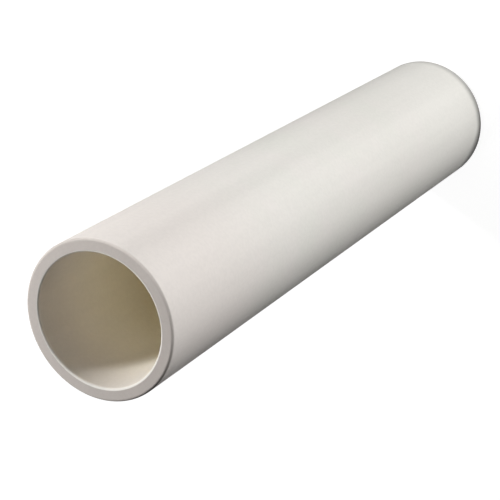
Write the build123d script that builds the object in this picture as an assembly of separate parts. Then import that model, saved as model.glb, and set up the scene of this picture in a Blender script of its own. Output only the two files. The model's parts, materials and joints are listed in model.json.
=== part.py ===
from build123d import *
import os

# Ceramic guide tube: one straight, open-ended tube that stands on one end.
# Millimetres. The origin is the centre of the lower end, and +Z runs up the bore.

# Driving dimensions
bore_diameter = 25.0  # what the tube guides passes through here
wall_thickness = 2.5
tube_length = 150.0
outside_edge_radius = 0.5  # rounding where each end face meets the outside
bore_edge_radius = 0.4  # rounding where each end face meets the bore, so nothing snags

# Worked out from the driving dimensions
bore_radius = bore_diameter / 2


def wall_section():
    """The wall cut lengthwise: a tall strip beside the axis, with its four corners rounded."""
    with BuildSketch(Plane.XZ) as section:
        with Locations((bore_radius, 0)):
            Rectangle(wall_thickness, tube_length, align=(Align.MIN, Align.MIN))
        bore_corners = section.vertices().group_by(Axis.X)[0]
        fillet(bore_corners, radius=bore_edge_radius)
        outside_corners = section.vertices().group_by(Axis.X)[-1]
        fillet(outside_corners, radius=outside_edge_radius)
    return section.sketch


def guide_tube():
    """The section turned once round the bore's axis."""
    with BuildPart() as tube:
        add(wall_section())
        revolve(axis=Axis.Z, revolution_arc=360)
    return tube.part


os.makedirs("parts", exist_ok=True)
export_step(guide_tube(), "parts/guide_tube.step")
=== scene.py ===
import json
import math

import bpy
from mathutils import Matrix, Vector


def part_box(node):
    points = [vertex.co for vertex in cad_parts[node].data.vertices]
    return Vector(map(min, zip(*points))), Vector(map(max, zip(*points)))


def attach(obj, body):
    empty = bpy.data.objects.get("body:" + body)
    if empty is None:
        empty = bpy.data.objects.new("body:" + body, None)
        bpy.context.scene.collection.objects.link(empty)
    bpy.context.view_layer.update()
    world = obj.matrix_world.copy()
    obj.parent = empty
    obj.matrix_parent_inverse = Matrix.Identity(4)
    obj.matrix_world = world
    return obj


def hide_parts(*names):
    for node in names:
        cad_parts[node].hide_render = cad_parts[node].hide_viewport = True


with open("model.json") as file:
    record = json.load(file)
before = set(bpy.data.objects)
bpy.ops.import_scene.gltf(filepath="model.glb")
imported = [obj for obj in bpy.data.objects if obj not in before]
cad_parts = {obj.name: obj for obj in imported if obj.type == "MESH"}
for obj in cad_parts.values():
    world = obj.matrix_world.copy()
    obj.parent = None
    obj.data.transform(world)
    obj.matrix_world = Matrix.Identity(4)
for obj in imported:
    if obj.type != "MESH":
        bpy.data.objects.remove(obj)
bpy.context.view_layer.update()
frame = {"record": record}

# Sizes of the tube, in metres, from the frame. An edge is the radius of its rounding.
MM = 0.001
node_low, node_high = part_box("guide_tube")
mounts = {mount["name"]: mount for mount in frame["record"]["mounts"]}
outside_radius = mounts["outside"]["dims"]["r_mm"] * MM
bore_radius = mounts["bore"]["dims"]["r_mm"] * MM
tube_length = node_high.z - node_low.z
half_length = tube_length / 2
outside_edge = (tube_length - mounts["outside"]["dims"]["length_mm"] * MM) / 2
bore_edge = (tube_length - mounts["bore"]["dims"]["length_mm"] * MM) / 2

# How finely the tube's surface is divided
SEGMENTS_AROUND = 256
EDGE_STEPS = 8
ROW_HEIGHT = 5 * MM
FACE_ROW = 0.4 * MM
SUPPORT = 0.05 * MM  # rows this close to a rounding keep the flat beside it flat

# The ceramic's colours. A and B are mixed in clouds.
OUTSIDE_A = (0.866, 0.835, 0.793, 1)
OUTSIDE_B = (0.848, 0.835, 0.781, 1)
# painted light: the outside lighter towards both ends
PAINTED_LIGHT_NEAR_ENDS = (0.902, 0.885, 0.835, 1)
UPPER_TINT = (0.955, 0.915, 0.918, 1)  # multiplies the outside: slightly pink and darker
# the bore's warm colour, painted lighter deep down than the ceramic is, in place of bounced light
BORE_A = (0.985, 0.943, 0.815, 1)
BORE_B = (0.975, 0.933, 0.805, 1)
# painted shade: the bore darker and greyer near each mouth
BORE_SHADE_NEAR_MOUTH = (0.845, 0.795, 0.735, 1)
# painted highlight on the bore's edge rounding
BORE_LIP_HIGHLIGHT = (0.95, 0.915, 0.86, 1)
# grey of the ground end faces; over the outer rounding it is painted shade
GROUND_END_AND_EDGE_SHADE = (0.684, 0.629, 0.588, 1)
# painted shade: near-black at the foot, strongest at -X, a contact shade
FOOT_SHADE = (0.07, 0.07, 0.068, 1)

# Where the ceramic changes: where a change starts, then where it is complete
BORE_STARTS = (1.1, 0.7)  # bore edges out from the bore's wall
LIP_STARTS = (2, 1)  # bore edges in from an end face
END_STARTS = (1, 0.4)  # outside edges in from an end face; the grey reaching over the rounding is painted shade
MOUTH_STARTS = (24 * MM, 1 * MM)  # in from an end face
NEAR_ENDS = (0.15, 0.45)  # tube lengths from the middle, for the painted light near the ends
UPPER_PART = (0.65, 0.93)  # tube lengths above the foot

# Painted shade at the foot, highest and strongest at -X
FOOT_TOP = 3.8 * MM
FOOT_TOP_AT_MINUS_X = 8.5 * MM
FOOT_RISES = (-0.5, -1)  # outside radii along X
FOOT_COMPLETE = 0.3 * MM
SHADE_AT_PLUS_X = 0.3
SHADE_CLOUDS = (0.2, 0.5)  # cloud noise that thins the painted shade, and that leaves it whole
SHADE_IN_CLOUDS = 0.85

# The ceramic's noises, each in patches a metre
CLOUDS = 70
STREAKS = 260
GRINDING_MARKS = 500
SPECKLES = 1500

# How the noises are stretched, and what they do to the colour
LENGTHWISE = (1, 1, 0.03)
ALONG_X = (0.08, 4, 1)
NOISE_SPAN = (0.3, 0.7)  # nearly all of a noise lies between these
STREAK_SHADE = (0.975, 1.0)
SPECKLE_SHADE = (-0.015, 0.015)

# The ceramic's finish
ROUGHNESS = (0.6, 0.68)
END_ROUGHNESS = 0.1  # added on the end faces
SPECKLE_RELIEF = 0.6
STREAK_RELIEF = 0.8
GRINDING_RELIEF = 1.2
RELIEF_STRENGTH = 0.25
RELIEF_HEIGHT = 0.02 * MM

# The stage. Lengths are in metres.
WHITE = (1, 1, 1, 1)
FLOOR_SIZE = 6.0
FLOOR_GREY = 0.3
FLOOR_GLOW = 0.9  # near the tube, so that its shadow shows
FULL_GLOW = (0.15, 0.4)  # from the tube's axis: the glow starts to rise, then is 1
WORLD_LIGHT = 0.02

# The light goes from wall to wall many times on its way down the bore
DIFFUSE_BOUNCES = 12
MAX_BOUNCES = 16

# The tube lies in the photograph and stands here, so the camera looks down on the
# upper end, which is the near one there, and is rolled
CAMERA_PLACE = Vector((0, -0.1746, 0.3599))
CAMERA_AIM = Vector((-0.0038, 0, 0.09825))
CAMERA_ROLL = math.radians(-122.7)
CAMERA_LENS = 113.54  # millimetres, as is the sensor's width
SENSOR_WIDTH = 36


# The tube's shape

def quarter_circle(centre_r, centre_z, radius, start_degrees):
    """Section points of one rounded edge, a quarter turn anticlockwise from start_degrees."""
    points = []
    for step in range(EDGE_STEPS + 1):
        angle = math.radians(start_degrees + 90 * step / EDGE_STEPS)
        points.append((centre_r + radius * math.cos(angle), centre_z + radius * math.sin(angle)))
    return points


def straight_rows(start, end, spacing):
    """Section points between two roundings, ends left out, with one support row beside each."""
    span = math.dist(start, end)
    count = max(1, round(span / spacing))
    fractions = [SUPPORT / span] + [k / count for k in range(1, count)] + [1 - SUPPORT / span]
    return [tuple(a + (b - a) * t for a, b in zip(start, end)) for t in fractions]


def wall_section():
    """The wall's closed outline as (radius, height) points, anticlockwise from the outside's top."""
    low, high = 0.0, tube_length
    bore_centre, outside_centre = bore_radius + bore_edge, outside_radius - outside_edge
    corners = [
        quarter_circle(outside_centre, high - outside_edge, outside_edge, 0),
        quarter_circle(bore_centre, high - bore_edge, bore_edge, 90),
        quarter_circle(bore_centre, low + bore_edge, bore_edge, 180),
        quarter_circle(outside_centre, low + outside_edge, outside_edge, 270),
    ]
    spacings = (FACE_ROW, ROW_HEIGHT, FACE_ROW, ROW_HEIGHT)
    outline = []
    for corner, following, spacing in zip(corners, corners[1:] + corners[:1], spacings):
        outline += corner + straight_rows(corner[-1], following[0], spacing)
    return outline


def turned_mesh(name, outline):
    """A closed surface: the outline turned once round Z."""
    vertices = []
    for segment in range(SEGMENTS_AROUND):
        angle = 2 * math.pi * segment / SEGMENTS_AROUND
        vertices += [(r * math.cos(angle), r * math.sin(angle), z) for r, z in outline]
    rows = len(outline)
    faces = []
    for segment in range(SEGMENTS_AROUND):
        here, there = segment * rows, (segment + 1) % SEGMENTS_AROUND * rows
        for row in range(rows):
            above = (row + 1) % rows
            faces.append((here + row, there + row, there + above, here + above))
    mesh = bpy.data.meshes.new(name)
    mesh.from_pydata(vertices, [], faces)
    mesh.polygons.foreach_set("use_smooth", [True] * len(faces))
    mesh.update()
    return mesh


# Materials

class Nodes:
    """A short way to add nodes to a material's or world's tree and join them."""

    # Sockets of a Mix node that blends colours
    FACTOR, FIRST, SECOND, RESULT = 0, 6, 7, 2

    def __init__(self, owner):
        owner.use_nodes = True
        self.tree = owner.node_tree
        self.tree.nodes.clear()

    def add(self, kind, inputs=None, **settings):
        """A new node. An input is another node's output or a value."""
        node = self.tree.nodes.new("ShaderNode" + kind)
        for key, value in settings.items():
            setattr(node, key, value)
        for key, value in (inputs or {}).items():
            if isinstance(value, bpy.types.NodeSocket):
                self.tree.links.new(value, node.inputs[key])
            else:
                node.inputs[key].default_value = value
        return node

    def math(self, operation, first, second=0.0):
        return self.add("Math", {0: first, 1: second}, operation=operation).outputs[0]

    def length(self, vector):
        return self.add("VectorMath", {0: vector}, operation="LENGTH").outputs["Value"]

    def ramp(self, value, low, high, low_result=0.0, high_result=1.0):
        """value carried from the range low..high to low_result..high_result, smoothly and clamped."""
        source = {"Value": value, "From Min": low, "From Max": high}
        target = {"To Min": low_result, "To Max": high_result}
        node = self.add("MapRange", source | target, interpolation_type="SMOOTHSTEP")
        return node.outputs["Result"]

    def noise(self, place, scale, detail=2.0, stretch=(1, 1, 1)):
        """Noise from 0 to 1 at that many patches a metre, stretched along an axis by a low number."""
        moved = self.add("Mapping", {"Vector": place, "Scale": stretch}).outputs[0]
        return self.add("TexNoise", {"Vector": moved, "Scale": scale, "Detail": detail}).outputs[0]

    def blend(self, factor, first, second, kind="MIX"):
        """Two colours blended by factor."""
        inputs = {self.FACTOR: factor, self.FIRST: first, self.SECOND: second}
        return self.add("Mix", inputs, data_type="RGBA", blend_type=kind).outputs[self.RESULT]


def near_end(n, from_middle, start, complete):
    """0 at start in from either end of the tube, and 1 at complete in from it."""
    return n.ramp(from_middle, half_length - start, half_length - complete)


def painted_foot_shade(n, x, z, cloud):
    """How far the painted shade hides the colour at the foot of the tube."""
    rises, full_height = (share * outside_radius for share in FOOT_RISES)
    top = n.ramp(x, rises, full_height, FOOT_TOP, FOOT_TOP_AT_MINUS_X)
    foot = n.ramp(z, top, FOOT_COMPLETE)
    side = n.ramp(x, outside_radius, -outside_radius, SHADE_AT_PLUS_X, 1.0)
    shaded = n.math("MULTIPLY", side, n.ramp(cloud, *SHADE_CLOUDS, SHADE_IN_CLOUDS, 1.0))
    return n.math("MULTIPLY", foot, shaded)


def fired_ceramic():
    """Off-white unglazed ceramic, nearly matte: a warmer bore, rougher ground ends, painted light and
    shade.
    """
    material = bpy.data.materials.new("fired_ceramic")
    n = Nodes(material)
    place = n.add("TexCoord").outputs["Object"]
    x, y, z = n.add("SeparateXYZ", {0: place}).outputs
    radius = n.length(n.add("CombineXYZ", {0: x, 1: y}).outputs[0])
    from_middle = n.math("ABSOLUTE", n.math("SUBTRACT", z, half_length))

    in_bore = n.ramp(radius, *(bore_radius + share * bore_edge for share in BORE_STARTS))
    on_end = near_end(n, from_middle, *(share * outside_edge for share in END_STARTS))
    painted_shade_at_mouth = near_end(n, from_middle, *MOUTH_STARTS)
    at_lip = near_end(n, from_middle, *(share * bore_edge for share in LIP_STARTS))
    painted_lip_highlight = n.math("MULTIPLY", in_bore, at_lip)
    painted_light_near_ends = n.ramp(from_middle, *(share * tube_length for share in NEAR_ENDS))
    upper_part = n.ramp(z, *(share * tube_length for share in UPPER_PART))

    cloud = n.noise(place, CLOUDS, detail=3.0)
    speckle = n.noise(place, SPECKLES)
    streak = n.noise(place, STREAKS, stretch=LENGTHWISE)
    grinding = n.noise(place, GRINDING_MARKS, detail=3.0, stretch=ALONG_X)
    clouded = n.ramp(cloud, *NOISE_SPAN)

    outside = n.blend(clouded, OUTSIDE_A, OUTSIDE_B)
    # painted light: lighter towards both ends
    outside = n.blend(painted_light_near_ends, outside, PAINTED_LIGHT_NEAR_ENDS)
    outside = n.blend(upper_part, outside, UPPER_TINT, "MULTIPLY")
    # the bore's warm colour, with painted light deep down and painted shade near each mouth
    bore = n.blend(clouded, BORE_A, BORE_B)
    bore = n.blend(painted_shade_at_mouth, bore, BORE_SHADE_NEAR_MOUTH)
    # painted highlight on the bore's lip
    bore = n.blend(painted_lip_highlight, bore, BORE_LIP_HIGHLIGHT)
    # ground end grey, and painted shade on the outer rounding
    colour = n.blend(on_end, outside, GROUND_END_AND_EDGE_SHADE)
    # painted shade at the foot
    colour = n.blend(painted_foot_shade(n, x, z, cloud), colour, FOOT_SHADE)
    colour = n.blend(in_bore, colour, bore)
    streak_shade = n.ramp(streak, *NOISE_SPAN, *STREAK_SHADE)
    speckle_shade = n.ramp(speckle, *NOISE_SPAN, *SPECKLE_SHADE)
    shade = n.math("ADD", streak_shade, speckle_shade)
    grey = n.add("CombineColor", {0: shade, 1: shade, 2: shade}).outputs[0]
    colour = n.blend(1.0, colour, grey, "MULTIPLY")

    roughness = n.ramp(cloud, *NOISE_SPAN, *ROUGHNESS)
    roughness = n.math("ADD", roughness, n.math("MULTIPLY", on_end, END_ROUGHNESS))

    relief = n.math("MULTIPLY", speckle, SPECKLE_RELIEF)
    relief = n.math("ADD", relief, n.math("MULTIPLY", streak, STREAK_RELIEF))
    marks = n.math("MULTIPLY", grinding, on_end)
    relief = n.math("ADD", relief, n.math("MULTIPLY", marks, GRINDING_RELIEF))
    bump = n.add(
        "Bump", {"Strength": RELIEF_STRENGTH, "Distance": RELIEF_HEIGHT, "Height": relief}
    )

    surface = {"Base Color": colour, "Roughness": roughness, "Normal": bump.outputs[0]}
    gloss = {"IOR": 1.5, "Specular IOR Level": 0.04}
    shader = n.add("BsdfPrincipled", surface | gloss)
    n.add("OutputMaterial", {"Surface": shader.outputs[0]})
    return material


def white_to_the_camera(n):
    """1 for rays from the camera and for what gloss or glass would show of the background, else 0."""
    path = n.add("LightPath").outputs
    seen = n.math("MAXIMUM", path["Is Camera Ray"], path["Is Glossy Ray"])
    return n.math("MAXIMUM", seen, path["Is Transmission Ray"])


def pale_floor():
    """A matte floor that shows as white where nothing shades it, and doesn't glow in the bore."""
    material = bpy.data.materials.new("pale_floor")
    n = Nodes(material)
    away = n.length(n.add("TexCoord").outputs["Object"])
    outside_bore = n.ramp(away, bore_radius, outside_radius)
    level = n.math("MULTIPLY", outside_bore, n.ramp(away, *FULL_GLOW, FLOOR_GLOW, 1.0))
    lift = n.math("MULTIPLY", white_to_the_camera(n), level)
    glow = n.add("Emission", {"Color": WHITE, "Strength": lift})
    matte = n.add("BsdfDiffuse", {"Color": (FLOOR_GREY, FLOOR_GREY, FLOOR_GREY, 1)})
    both = n.add("AddShader", {0: matte.outputs[0], 1: glow.outputs[0]})
    n.add("OutputMaterial", {"Surface": both.outputs[0]})
    return material


# The part

def make_tube():
    """The tube, standing on its lower end in place of its CAD node."""
    mesh = turned_mesh("ceramic_tube", wall_section())
    mesh.materials.append(fired_ceramic())
    tube = bpy.data.objects.new("ceramic_tube", mesh)
    bpy.context.scene.collection.objects.link(tube)
    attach(tube, "root")
    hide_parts("guide_tube")


# The stage

def make_floor():
    """A square floor with the tube at its middle."""
    half = FLOOR_SIZE / 2
    corners = [(-half, -half, 0), (half, -half, 0), (half, half, 0), (-half, half, 0)]
    mesh = bpy.data.meshes.new("floor")
    mesh.from_pydata(corners, [], [(0, 1, 2, 3)])
    mesh.materials.append(pale_floor())
    floor = bpy.data.objects.new("floor", mesh)
    bpy.context.scene.collection.objects.link(floor)


def make_world():
    """An even light from all round, and white where the camera sees past the floor."""
    world = bpy.data.worlds.new("studio")
    bpy.context.scene.world = world
    n = Nodes(world)
    white = n.math("MULTIPLY", white_to_the_camera(n), 1 - WORLD_LIGHT)
    strength = n.math("ADD", white, WORLD_LIGHT)
    light = n.add("Background", {"Color": WHITE, "Strength": strength})
    n.add("OutputWorld", {"Surface": light.outputs[0]})


def softbox(name, azimuth, elevation, distance, aim_height, size, power):
    """A lamp, width and height by size, aimed at a height on the tube's axis.

    The angles are in degrees, and azimuth 0 is +X and 90 is +Y. The rest is in metres and watts.
    """
    lamp = bpy.data.lights.new(name, "AREA")
    lamp.shape = "RECTANGLE"
    lamp.size, lamp.size_y = size
    lamp.energy = power
    holder = bpy.data.objects.new(name, lamp)
    bpy.context.scene.collection.objects.link(holder)
    a, e = math.radians(azimuth), math.radians(elevation)
    back = Vector((math.cos(a) * math.cos(e), math.sin(a) * math.cos(e), math.sin(e)))
    holder.location = Vector((0, 0, aim_height)) + back * distance
    holder.rotation_mode = "QUATERNION"
    holder.rotation_quaternion = (-back).to_track_quat("-Z", "Y")
    holder.visible_camera = False


def make_lights():
    """A key lamp that reaches into the bore, two lamps in front, and one behind."""
    softbox("key", azimuth=24.5, elevation=39, distance=0.27, aim_height=tube_length,
            size=(0.044, 0.064), power=0.757)
    softbox("front", azimuth=-85, elevation=0, distance=0.4, aim_height=0.075,
            size=(0.05, 0.14), power=1.2)
    softbox("wide_front", azimuth=-60, elevation=10, distance=0.8, aim_height=0.1,
            size=(0.3, 0.3), power=0.4)
    softbox("back", azimuth=105, elevation=0, distance=0.4, aim_height=0.07,
            size=(0.12, 0.13), power=0.65)


def make_camera():
    """The camera, placed, aimed and rolled as the photograph needs."""
    data = bpy.data.cameras.new("camera")
    data.lens = CAMERA_LENS
    data.sensor_width = SENSOR_WIDTH
    camera = bpy.data.objects.new("camera", data)
    bpy.context.scene.collection.objects.link(camera)
    aim = (CAMERA_AIM - CAMERA_PLACE).to_track_quat("-Z", "Y").to_matrix().to_4x4()
    roll = Matrix.Rotation(CAMERA_ROLL, 4, "Z")
    camera.matrix_world = Matrix.Translation(CAMERA_PLACE) @ aim @ roll
    bpy.context.scene.camera = camera


def set_look():
    """Plain colours, and enough bounces for the bore."""
    scene = bpy.context.scene
    scene.view_settings.view_transform = "Standard"
    scene.cycles.max_bounces = MAX_BOUNCES
    scene.cycles.diffuse_bounces = DIFFUSE_BOUNCES


make_tube()
make_floor()
make_world()
make_lights()
make_camera()
set_look()
